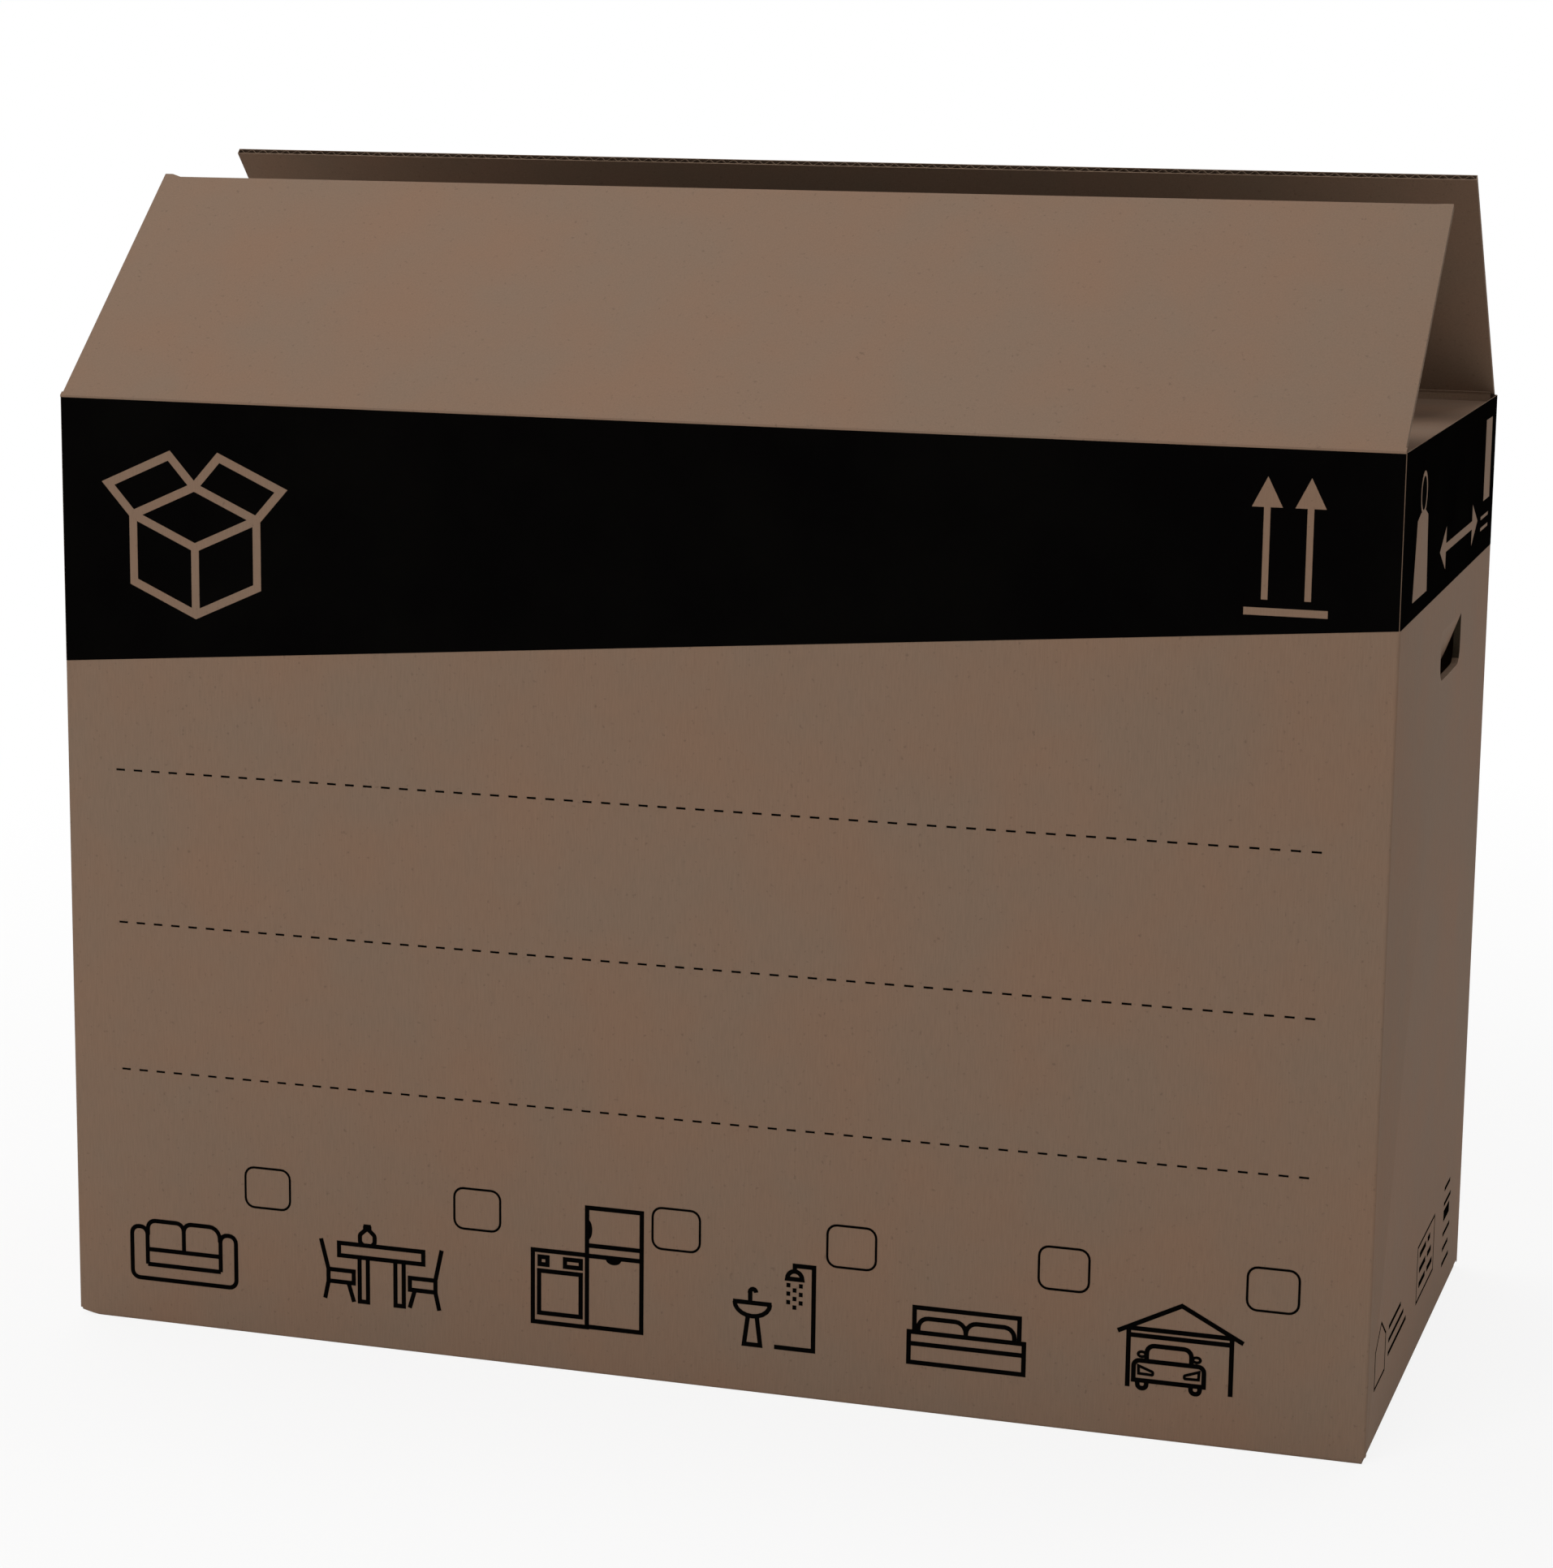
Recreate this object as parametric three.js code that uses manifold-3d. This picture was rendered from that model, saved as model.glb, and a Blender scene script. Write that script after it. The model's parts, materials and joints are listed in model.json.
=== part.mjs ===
import * as THREE from 'three';
import { mergeVertices } from 'three/addons/utils/BufferGeometryUtils.js';
import Module from 'manifold-3d';

// Slotted carton folded from one sheet of corrugated board, standing open at the top.
// Millimetres, +Z up. The origin is the middle of the footprint, on the floor.
// X runs along the front wall, which faces -Y. The end walls face -X and +X.

// Driving dimensions of the carton
const LENGTH = 800; // outside, along the front wall
const DEPTH = 385; // outside, front to back
const HEIGHT = 570; // floor to the crease of the long flaps
const BOARD = 4; // thickness of the board

// Folds and the gaps between sheets that lie on one another
const CORNER_RADIUS = 4; // outside of the upright folds
const CREASE_RADIUS = 2; // outside of the folds between a wall and a flap
const SHEET_GAP = 0.3; // between a short flap and the long flaps over it
const CREASE_GAP = 0.2; // play in the crease of a moving flap
const FLAP_PLAY = 1; // between a short flap's ends and the walls beside it
const LONG_INSET = 2; // from the end of a long flap to the end wall's outer face
const SEAM = 1; // between the free edges of two closed long flaps

// Places where the two long flaps stand, from upright, leaning inwards
const FRONT_LEAN = THREE.MathUtils.degToRad(49);
const BACK_LEAN = THREE.MathUtils.degToRad(43.6);

// Glued lap inside the upright corner at the back left
const LAP_WIDTH = 36;
const LAP_TAPER = 12; // how much each end of the lap slants back
const LAP_PLAY = 1; // between the lap's ends and the short flaps
const RAW_END_SETBACK = 0.6; // the back wall's cut end, from the end wall's outer face

// Hand hole in each end wall, with the tab that was cut out of it still hanging on its top edge
const HOLE_WIDTH = 85;
const HOLE_HEIGHT = 30;
const HOLE_RADIUS = 10; // lower corners
const HOLE_DROP = 121; // from the top crease down to the top of the hole
const HOLE_SHIFT = 20; // off the middle of the end wall, to the right as seen from outside
const TAB_KERF = 0.4; // cut round the tab
const TAB_ANGLE = THREE.MathUtils.degToRad(20); // pushed inwards

// Mouths of the flutes along the free edges of the flaps
const FLUTE_PITCH = 8;
const LINER = 0.5; // skin of the board outside the flutes
const WEB_SHIFT = 0.8; // sideways step from one flute to the next, which leaves the web
const MOUTH_DEPTH = 3;

// Knocked lower corner at the front left
const KNOCK_LENGTH = 14;
const KNOCK_HEIGHT = 3.5;
const KNOCK_REACH = 10;

// Modelling values
const ARC_STEPS = 4; // straight steps in a rounded corner
const OVERCUT = 1; // how far a cutter runs past the face that it opens

// Places that follow from the sizes above
const HALF_LENGTH = LENGTH / 2;
const HALF_DEPTH = DEPTH / 2;
const FLAP_LENGTH = (DEPTH - SEAM) / 2; // every flap of the blank has this length
const SHORT_FLAP_TOP = HEIGHT - BOARD - SHEET_GAP;
const SHORT_FLAP_UNDERSIDE = BOARD + SHEET_GAP; // of the two at the bottom
const SHORT_HALF_WIDTH = HALF_DEPTH - BOARD - FLAP_PLAY;
const LONG_HALF_WIDTH = HALF_LENGTH - LONG_INSET;
const HOLE_TOP = HEIGHT - HOLE_DROP;

const wasm = await Module();
wasm.setup();

const AXES = {
  x: new THREE.Vector3(1, 0, 0),
  y: new THREE.Vector3(0, 1, 0),
  z: new THREE.Vector3(0, 0, 1),
};

// Bases that lay an extrusion along an axis, with its outline drawn in the two axes that follow
const LIE = {
  x: new THREE.Matrix4().makeBasis(AXES.y, AXES.z, AXES.x),
  y: new THREE.Matrix4().makeBasis(AXES.z, AXES.x, AXES.y),
  z: new THREE.Matrix4().makeBasis(AXES.x, AXES.y, AXES.z),
};

// Half a turn about Z, which takes each wall to the wall opposite
const OPPOSITE = new THREE.Matrix4().makeScale(-1, -1, 1);

// Closed outline through square corners [a, b], or [a, b, radius] for a rounded one
function outline(corners) {
  const points = [];
  corners.forEach(([a, b, radius = 0], index) => {
    const corner = new THREE.Vector2(a, b);
    if (radius === 0) {
      points.push(corner);
      return;
    }
    const before = corners.at(index - 1);
    const after = corners[(index + 1) % corners.length];
    const toBefore = new THREE.Vector2(before[0] - a, before[1] - b).normalize();
    const toAfter = new THREE.Vector2(after[0] - a, after[1] - b).normalize();
    for (let step = 0; step <= ARC_STEPS; step += 1) {
      const turn = (Math.PI / 2) * (step / ARC_STEPS);
      const point = corner.clone();
      point.addScaledVector(toBefore, radius * (1 - Math.sin(turn)));
      point.addScaledVector(toAfter, radius * (1 - Math.cos(turn)));
      points.push(point);
    }
  });
  return new THREE.Shape(points);
}

// Solid from a closed geometry
function solidOf(geometry) {
  geometry.deleteAttribute('normal');
  geometry.deleteAttribute('uv');
  const merged = mergeVertices(geometry);
  return new wasm.Manifold(new wasm.Mesh({
    numProp: 3,
    vertProperties: Float32Array.from(merged.attributes.position.array),
    triVerts: Uint32Array.from(merged.index.array),
  }));
}

// Solid prism of one outline or several, between two places along an axis
function prism(shapes, axis, from, to, placing = new THREE.Matrix4()) {
  const geometry = new THREE.ExtrudeGeometry(shapes, { depth: to - from, bevelEnabled: false });
  geometry.translate(0, 0, from);
  geometry.applyMatrix4(LIE[axis]);
  geometry.applyMatrix4(placing);
  return solidOf(geometry);
}

// Three-sided flute mouths in a row, point up and point down in turn, between the two liners
function fluteMouths(width, middle) {
  const half = BOARD / 2 - LINER;
  const base = FLUTE_PITCH / 2 - WEB_SHIFT;
  const halfCount = Math.floor(width / FLUTE_PITCH) - 1;
  const mouths = [];
  for (let place = -halfCount; place <= halfCount; place += 1) {
    const centre = (place * FLUTE_PITCH) / 2;
    const side = place % 2 === 0 ? 1 : -1;
    mouths.push(new THREE.Shape([
      new THREE.Vector2(centre - side * base, middle - side * half),
      new THREE.Vector2(centre + side * base, middle - side * half),
      new THREE.Vector2(centre, middle + side * half),
    ]));
  }
  return mouths;
}

// The four walls, from the raw end of the back wall round to the end wall that carries the lap
function wallStrip() {
  const leftEnd = HALF_DEPTH - BOARD - FLAP_PLAY;
  const rawEnd = RAW_END_SETBACK - HALF_LENGTH;
  const insideX = HALF_LENGTH - BOARD;
  const insideY = HALF_DEPTH - BOARD;
  const plan = outline([
    [-HALF_LENGTH, leftEnd],
    [-HALF_LENGTH, -HALF_DEPTH, CORNER_RADIUS],
    [HALF_LENGTH, -HALF_DEPTH, CORNER_RADIUS],
    [HALF_LENGTH, HALF_DEPTH, CORNER_RADIUS],
    [rawEnd, HALF_DEPTH],
    [rawEnd, insideY],
    [insideX, insideY],
    [insideX, -insideY],
    [-insideX, -insideY],
    [-insideX, leftEnd],
  ]);
  const low = SHORT_FLAP_UNDERSIDE + CREASE_RADIUS;
  const high = SHORT_FLAP_TOP - CREASE_RADIUS;
  return prism(plan, 'z', low, high);
}

// Front wall from the mitred top crease down to the closed bottom flap
function longWall(placing) {
  const insideY = -HALF_DEPTH + BOARD;
  const creaseTop = HEIGHT - CREASE_GAP;
  const profile = outline([
    [-HALF_DEPTH, creaseTop],
    [-HALF_DEPTH, 0, CREASE_RADIUS],
    [-SEAM / 2, 0],
    [-SEAM / 2, BOARD],
    [insideY, BOARD],
    [insideY, creaseTop - BOARD],
  ]);
  return prism(profile, 'x', -LONG_HALF_WIDTH, LONG_HALF_WIDTH, placing);
}

// End wall with its short flaps, folded in flat at the top and at the bottom
function shortWall(placing) {
  const insideX = HALF_LENGTH - BOARD;
  const freeX = HALF_LENGTH - FLAP_LENGTH;
  const profile = outline([
    [SHORT_FLAP_UNDERSIDE, HALF_LENGTH, CREASE_RADIUS],
    [SHORT_FLAP_UNDERSIDE, freeX],
    [SHORT_FLAP_UNDERSIDE + BOARD, freeX],
    [SHORT_FLAP_UNDERSIDE + BOARD, insideX],
    [SHORT_FLAP_TOP - BOARD, insideX],
    [SHORT_FLAP_TOP - BOARD, freeX],
    [SHORT_FLAP_TOP, freeX],
    [SHORT_FLAP_TOP, HALF_LENGTH, CREASE_RADIUS],
  ].reverse());
  return prism(profile, 'y', -SHORT_HALF_WIDTH, SHORT_HALF_WIDTH, placing);
}

// Flute mouths along the free edge of the short flap at the top
function shortFlapMouths(placing) {
  const freeX = HALF_LENGTH - FLAP_LENGTH;
  const mouths = fluteMouths(2 * SHORT_HALF_WIDTH, SHORT_FLAP_TOP - BOARD / 2);
  return prism(mouths, 'x', freeX - OVERCUT, freeX + MOUTH_DEPTH, placing);
}

// Lap that continues the left end wall and is glued inside the back wall
function glueLap() {
  const low = SHORT_FLAP_UNDERSIDE + BOARD + LAP_PLAY;
  const high = SHORT_FLAP_TOP - BOARD - LAP_PLAY;
  const shape = outline([
    [low, -HALF_LENGTH],
    [high, -HALF_LENGTH],
    [high - LAP_TAPER, -HALF_LENGTH + LAP_WIDTH],
    [low + LAP_TAPER, -HALF_LENGTH + LAP_WIDTH],
  ].reverse());
  return prism(shape, 'y', HALF_DEPTH - 2 * BOARD, HALF_DEPTH - BOARD);
}

// Outline of the hand hole in y and z, smaller all round by the margin, with a straight top
function holeOutline(margin, top) {
  const half = HOLE_WIDTH / 2 - margin;
  const bottom = top - HOLE_HEIGHT + margin;
  return outline([
    [HOLE_SHIFT - half, bottom, HOLE_RADIUS],
    [HOLE_SHIFT + half, bottom, HOLE_RADIUS],
    [HOLE_SHIFT + half, top],
    [HOLE_SHIFT - half, top],
  ]);
}

function handHole(placing) {
  const inside = HALF_LENGTH - BOARD - OVERCUT;
  return prism(holeOutline(0, HOLE_TOP), 'x', inside, HALF_LENGTH + OVERCUT, placing);
}

// The cut-out tab, turned inwards about the outer edge of the hole's top
function handTab(placing) {
  const turned = new THREE.Matrix4().makeTranslation(HALF_LENGTH, 0, HOLE_TOP);
  turned.multiply(new THREE.Matrix4().makeRotationY(TAB_ANGLE));
  turned.premultiply(placing);
  return prism(holeOutline(TAB_KERF, 0), 'x', -BOARD, 0, turned);
}

// Wedge knocked off the lower corner at the front left
function knockedCorner() {
  const shape = outline([
    [-OVERCUT, -HALF_LENGTH - OVERCUT],
    [KNOCK_HEIGHT, -HALF_LENGTH - OVERCUT],
    [KNOCK_HEIGHT, -HALF_LENGTH],
    [0, -HALF_LENGTH + KNOCK_LENGTH],
    [-OVERCUT, -HALF_LENGTH + KNOCK_LENGTH],
  ].reverse());
  return prism(shape, 'y', -HALF_DEPTH - OVERCUT, -HALF_DEPTH + KNOCK_REACH);
}

// Everything of the sheet that does not move
function cartonBody() {
  const here = new THREE.Matrix4();
  let body = wallStrip().add(glueLap());
  for (const placing of [here, OPPOSITE]) {
    body = body.add(longWall(placing)).add(shortWall(placing));
  }
  for (const placing of [here, OPPOSITE]) {
    body = body.subtract(handHole(placing)).add(handTab(placing));
    body = body.subtract(shortFlapMouths(placing));
  }
  return body.subtract(knockedCorner());
}

// Long flap, upright, with the origin on its crease: outer face towards -Y, root mitred
function longFlap() {
  const outer = CREASE_GAP;
  const inner = CREASE_GAP + BOARD;
  const root = 2 * CREASE_GAP;
  const reach = FLAP_LENGTH + CREASE_GAP;
  const profile = outline([
    [outer, root],
    [inner, root + BOARD],
    [inner, reach],
    [outer, reach],
  ]);
  const mouths = fluteMouths(2 * LONG_HALF_WIDTH, CREASE_GAP + BOARD / 2);
  const plate = prism(profile, 'x', -LONG_HALF_WIDTH, LONG_HALF_WIDTH);
  return plate.subtract(prism(mouths, 'z', reach - MOUTH_DEPTH, reach + OVERCUT));
}

// Named mesh of a solid, in the colour of its board
function meshOf(name, solid, colour) {
  const { vertProperties, triVerts } = solid.getMesh();
  const geometry = new THREE.BufferGeometry();
  geometry.setAttribute('position', new THREE.BufferAttribute(vertProperties, 3));
  geometry.setIndex(new THREE.BufferAttribute(triVerts, 1));
  geometry.computeVertexNormals();
  const material = new THREE.MeshStandardMaterial({ color: colour, roughness: 0.9, metalness: 0 });
  const mesh = new THREE.Mesh(geometry, material);
  mesh.name = name;
  return mesh;
}

// A long flap on its crease, leaning inwards from upright
function hangFlap(name, colour, lean) {
  const flap = meshOf(name, longFlap(), colour);
  flap.position.set(0, -HALF_DEPTH - CREASE_GAP, HEIGHT + CREASE_GAP);
  flap.rotation.x = -lean;
  return flap;
}

const backSide = new THREE.Group();
backSide.rotation.z = Math.PI;
backSide.add(hangFlap('back_flap', 0x4f4038, BACK_LEAN));

const carton = new THREE.Group();
carton.add(meshOf('carton_body', cartonBody(), 0x766152));
carton.add(hangFlap('front_flap', 0x866d5b, FRONT_LEAN));
carton.add(backSide);

export default carton;
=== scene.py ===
import json
import math

import bmesh
import bpy
from mathutils import Matrix, Vector


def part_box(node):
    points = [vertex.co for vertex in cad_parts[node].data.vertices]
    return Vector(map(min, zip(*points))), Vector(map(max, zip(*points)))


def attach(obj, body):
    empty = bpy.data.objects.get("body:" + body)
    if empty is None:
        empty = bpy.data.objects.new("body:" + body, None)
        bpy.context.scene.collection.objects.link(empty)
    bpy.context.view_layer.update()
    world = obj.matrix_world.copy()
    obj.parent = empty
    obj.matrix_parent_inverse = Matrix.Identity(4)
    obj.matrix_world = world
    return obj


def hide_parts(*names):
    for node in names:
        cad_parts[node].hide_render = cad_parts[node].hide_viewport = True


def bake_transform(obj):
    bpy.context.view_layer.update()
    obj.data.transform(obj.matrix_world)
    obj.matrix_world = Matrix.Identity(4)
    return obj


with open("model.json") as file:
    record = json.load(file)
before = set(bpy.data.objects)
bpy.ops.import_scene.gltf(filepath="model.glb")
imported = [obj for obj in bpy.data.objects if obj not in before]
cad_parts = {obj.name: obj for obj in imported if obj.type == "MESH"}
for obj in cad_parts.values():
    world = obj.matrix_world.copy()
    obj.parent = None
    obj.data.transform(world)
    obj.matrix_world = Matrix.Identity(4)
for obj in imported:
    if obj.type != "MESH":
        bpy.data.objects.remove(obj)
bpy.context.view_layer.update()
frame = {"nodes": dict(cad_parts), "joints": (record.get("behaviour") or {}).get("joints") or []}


# Camera
# The box was photographed from its right-hand end, a little above the flaps, with a short
# telephoto lens. Its whole front is in view, and a narrow strip of the end wall.

CAMERA_PLACE = Vector((0.6939, -2.2635, 0.7781))
CAMERA_TURN = math.radians(17.29)
CAMERA_DIP = math.radians(10.77)
CAMERA_ROLL = math.radians(0.71)
FOCAL_LENGTH = 88.9

bpy.ops.object.camera_add()
camera = bpy.context.object
camera.name = "photo_camera"
camera.data.lens = FOCAL_LENGTH
camera.data.sensor_width = 36.0
camera.matrix_world = (
    Matrix.Translation(CAMERA_PLACE)
    @ Matrix.Rotation(CAMERA_TURN, 4, "Z")
    @ Matrix.Rotation(math.pi / 2 - CAMERA_DIP, 4, "X")
    @ Matrix.Rotation(CAMERA_ROLL, 4, "Z")
)
bpy.context.scene.camera = camera


# Carton sheet
# The walls, the short flaps and the bottom of a slotted carton, folded from one sheet of
# single-wall corrugated board: kraft liner on both sides of a fluted medium, 4 mm in all.
# The folds are creased and soft, and the liner shows the flutes as faint upright ribs.

MM = 0.001
BOARD = 4 * MM
FLUTE_PITCH = 8 * MM
INK_ROOM = 0.15 * MM
KRAFT = "8E725E"
KRAFT_GREY = "8A7361"
KRAFT_FLECK = "5A483B"
# Inside tones: testliner, partly darkened with painted shade
INSIDE_PAINTED_SHADE = "816754"
INSIDE_GREY_PAINTED_SHADE = "7C6755"
RAW_EDGE = "8A7462"
# Cut edge of the hand holes: its dark brown holds painted shade
HOLE_EDGE_PAINTED_SHADE = "362E23"
FLUTING = "715D4D"

sheet_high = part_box("carton_body")[1]
HALF_LENGTH = sheet_high[0]
HALF_DEPTH = sheet_high[1]
CREASE = frame["joints"][0]["pos_m"]
CREASE_GAP = -CREASE[1] - HALF_DEPTH
HEIGHT = CREASE[2] - CREASE_GAP


def linear(code):
    """Colour written as sRGB hex digits, turned to linear values."""
    channels = [int(code[place:place + 2], 16) / 255 for place in (0, 2, 4)]
    return [c / 12.92 if c <= 0.04045 else ((c + 0.055) / 1.055) ** 2.4 for c in channels] + [1.0]


def add_node(tree, kind, settings=None, **links):
    """Adds a node, gives its settings, and links or fills the inputs that are named."""
    node = tree.nodes.new(kind)
    for name, value in (settings or {}).items():
        setattr(node, name, value)
    for name, value in links.items():
        socket = node.inputs[int(name[1:])] if name[1:].isdigit() else node.inputs[name.replace("_", " ")]
        if isinstance(value, bpy.types.NodeSocket):
            tree.links.new(value, socket)
        else:
            socket.default_value = value
    return node


def board_material(name, flutes_across, tones, contrast=1.0, ribs=0.35, roughness=0.88):
    """Paper of corrugated board in two near tones and flecks. flutes_across: axis they follow on."""
    material = bpy.data.materials.new(name)
    material.use_nodes = True
    tree = material.node_tree
    shader = tree.nodes["Principled BSDF"]
    place = add_node(tree, "ShaderNodeTexCoord").outputs["Object"]

    # Fibres run with the flutes: noise of 0.8 mm drawn out 12 times in their direction
    drawn_scale = [1200.0, 1200.0, 100.0]
    if flutes_across == "Z":
        drawn_scale = [1200.0, 100.0, 1200.0]
    drawn = add_node(tree, "ShaderNodeMapping", Vector=place, Scale=drawn_scale).outputs[0]
    fibre = add_node(tree, "ShaderNodeTexNoise", Vector=drawn, Scale=1.0, Detail=2.0,
                     Roughness=0.6).outputs[0]
    # Pulp dries in patches of about 70 mm that lean to red or to grey
    cloud = add_node(tree, "ShaderNodeTexNoise", Vector=place, Scale=14.0, Detail=4.0,
                     Roughness=0.55).outputs[0]
    # Dark flecks of waste paper, 1 to 2 mm
    fleck = add_node(tree, "ShaderNodeTexNoise", Vector=place, Scale=420.0, Detail=1.0,
                     Roughness=0.5).outputs[0]

    patch = add_node(tree, "ShaderNodeMapRange", Value=cloud, From_Min=0.35, From_Max=0.65,
                     To_Min=0.0, To_Max=1.0).outputs[0]
    toned = add_node(tree, "ShaderNodeMix", {"data_type": "RGBA"}, _0=patch,
                     _6=linear(tones[0]), _7=linear(tones[1])).outputs[2]
    grain = add_node(tree, "ShaderNodeMapRange", Value=fibre, From_Min=0.3, From_Max=0.7,
                     To_Min=1 - 0.05 * contrast, To_Max=1 + 0.05 * contrast).outputs[0]
    grained = add_node(tree, "ShaderNodeVectorMath", {"operation": "SCALE"}, _0=toned,
                       Scale=grain).outputs[0]
    dots = add_node(tree, "ShaderNodeMapRange", Value=fleck, From_Min=0.68, From_Max=0.8,
                    To_Min=0.0, To_Max=0.35 * contrast).outputs[0]
    colour = add_node(tree, "ShaderNodeMix", {"data_type": "RGBA"}, _0=dots, _6=grained,
                      _7=linear(tones[2])).outputs[2]
    tree.links.new(colour, shader.inputs["Base Color"])

    # Ribs of the flutes under the liner, one each pitch, and the fibres' own tooth
    axes = add_node(tree, "ShaderNodeSeparateXYZ", Vector=place)
    across = axes.outputs[flutes_across if flutes_across in "XY" else "X"]
    phase = add_node(tree, "ShaderNodeMath", {"operation": "MULTIPLY"},
                     _0=across, _1=2 * math.pi / FLUTE_PITCH).outputs[0]
    wave = add_node(tree, "ShaderNodeMath", {"operation": "SINE"}, _0=phase).outputs[0]
    rib = add_node(tree, "ShaderNodeMath", {"operation": "MULTIPLY"}, _0=wave, _1=ribs).outputs[0]
    tooth = add_node(tree, "ShaderNodeMath", {"operation": "MULTIPLY_ADD"}, _0=fibre, _1=0.8,
                     _2=rib).outputs[0]
    bump = add_node(tree, "ShaderNodeBump", Height=tooth, Strength=0.3, Distance=0.05 * MM)
    tree.links.new(bump.outputs[0], shader.inputs["Normal"])
    shader.inputs["Roughness"].default_value = roughness
    shader.inputs["Specular IOR Level"].default_value = 0.2
    return material


liner_tones = (KRAFT, KRAFT_GREY, KRAFT_FLECK)
liner_along_x = board_material("kraft_liner_flutes_in_x", "X", liner_tones)
liner_along_y = board_material("kraft_liner_flutes_in_y", "Y", liner_tones)
# Testliner inside the box: recycled paper, a little darker and duller than the kraft outside, and darkened
# further by painted shade, as the inside lies in shadow
inside_painted_shade_along_x = board_material("testliner_with_painted_shade_flutes_in_x", "X", (INSIDE_PAINTED_SHADE, INSIDE_GREY_PAINTED_SHADE, KRAFT_FLECK), 1.4)
# Guillotined edge: fibres torn open, so it is darker and rougher than the liner's face
raw_edge = board_material("raw_cut_board_edge", "Z", (RAW_EDGE, "7C6654", KRAFT_FLECK), 2.5, 1.2, 0.95)
# Die-cut edge of the hand holes: the crushed medium shows, grey-green, and its dark tone is painted shade
# of the hollow hole
hole_edge_painted_shade = board_material("crushed_hole_edge_painted_shade", "Z", (HOLE_EDGE_PAINTED_SHADE, "453C2E", "241F18"), 3.0, 1.2, 0.95)
# Semi-chemical fluting medium: darker, greyer paper that sees little light between the liners
fluting = board_material("semi_chemical_fluting", "Z", (FLUTING, "665445", "4A3D32"), 2.0, 0.0, 0.95)


def only(thing):
    """Leaves nothing but this object selected and active."""
    bpy.ops.object.select_all(action="DESELECT")
    thing.select_set(True)
    bpy.context.view_layer.objects.active = thing


def finish_piece(piece, name, body):
    """Names a piece, applies its place to its mesh, and says what it rides on."""
    only(piece)
    piece.name = name
    piece.data.name = name
    bpy.ops.object.transform_apply(location=True, rotation=True, scale=True)
    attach(piece, body)


def laid_sheet(rows, thickness, side):
    """Sheet through rows of points, thickened on its front (side 1) or its back (side -1)."""
    across, up = len(rows[0]), len(rows)
    bpy.ops.object.select_all(action="DESELECT")
    bpy.ops.mesh.primitive_grid_add(x_subdivisions=across - 1, y_subdivisions=up - 1, size=1)
    laid = bpy.context.object
    for vertex in laid.data.vertices:
        column = round((vertex.co.x + 0.5) * (across - 1))
        row = round((vertex.co.y + 0.5) * (up - 1))
        vertex.co = rows[row][column]
    thick = laid.modifiers.new("thickness", "SOLIDIFY")
    thick.thickness = thickness
    thick.offset = side
    bpy.ops.object.modifier_apply(modifier=thick.name)
    bpy.ops.object.shade_smooth_by_angle(angle=math.radians(30))
    return laid


sheet = frame["nodes"]["carton_body"].copy()
sheet.data = sheet.data.copy()
bpy.context.collection.objects.link(sheet)
sheet.data.materials.clear()
for material in (liner_along_x, liner_along_y, raw_edge, hole_edge_painted_shade, inside_painted_shade_along_x):
    sheet.data.materials.append(material)
only(sheet)
bpy.ops.object.mode_set(mode="EDIT")
bpy.ops.mesh.select_all(action="SELECT")
bpy.ops.mesh.remove_doubles(threshold=0.00001)
bpy.ops.mesh.dissolve_limited(angle_limit=math.radians(1))
bpy.ops.object.mode_set(mode="OBJECT")
SHORT_FLAP_TOP = HEIGHT - BOARD - 0.3 * MM
HOLE_BOTTOM = 419 * MM
HOLE_TOP = 449 * MM
NEAR_HOLE = 4 * MM
FLAT_ON = 0.5
# Material of each face, in the order above: hole and cut edges first, then inside and outside
for face in sheet.data.polygons:
    middle = face.center
    in_wall_x = abs(middle.x) > HALF_LENGTH - 4 * BOARD
    in_wall_y = abs(middle.y) > HALF_DEPTH - 1.1 * BOARD
    in_top_half = middle.z > HEIGHT / 2
    on_end = abs(face.normal.x) > FLAT_ON
    on_short_flap = abs(face.normal.z) > FLAT_ON and BOARD < middle.z
    at_hole = HOLE_BOTTOM - NEAR_HOLE < middle.z < HOLE_TOP + NEAR_HOLE
    in_hole = at_hole and in_wall_x and abs(face.normal.x) < 0.9
    in_flap_height = SHORT_FLAP_TOP - BOARD - MM < middle.z < SHORT_FLAP_TOP - 0.1 * MM
    flap_edge = in_flap_height and not in_wall_x and not in_wall_y and abs(face.normal.z) < 0.9
    long_wall_edge = in_wall_y and in_top_half and abs(face.normal.z) > 0.6
    faces_in = face.normal.x * middle.x < -0.3 or face.normal.y * middle.y < -0.15
    under_flap = in_top_half and face.normal.z < -FLAT_ON
    on_bottom = middle.z < 5 * BOARD and face.normal.z > FLAT_ON
    if in_hole:
        # The hole's sides get the cut-edge colour with painted shade in it
        face.material_index = 3 if face.normal.z < 0.7 else 2
    elif flap_edge or long_wall_edge:
        face.material_index = 2
    # Inner faces get the testliner colour, which holds painted shade
    elif faces_in or under_flap or on_bottom:
        face.material_index = 4
    else:
        face.material_index = 1 if on_end or on_short_flap else 0

# The print takes up the last 0.15 mm, so the walls stand that much inside the full size
for vertex in sheet.data.vertices:
    vertex.co.x *= (HALF_LENGTH - INK_ROOM) / HALF_LENGTH
    vertex.co.y *= (HALF_DEPTH - INK_ROOM) / HALF_DEPTH
bpy.ops.object.shade_smooth_by_angle(angle=math.radians(30))
finish_piece(sheet, "carton_sheet", "carton")
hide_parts("carton_body")


# Upright folds and end creases
# The sheet is scored and folded at the four upright corners, where the liner is drawn tight to
# a small radius. Where an end wall folds into its short flap, the liner is pushed up into a
# thin ridge, level with the creases of the long flaps.

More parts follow.
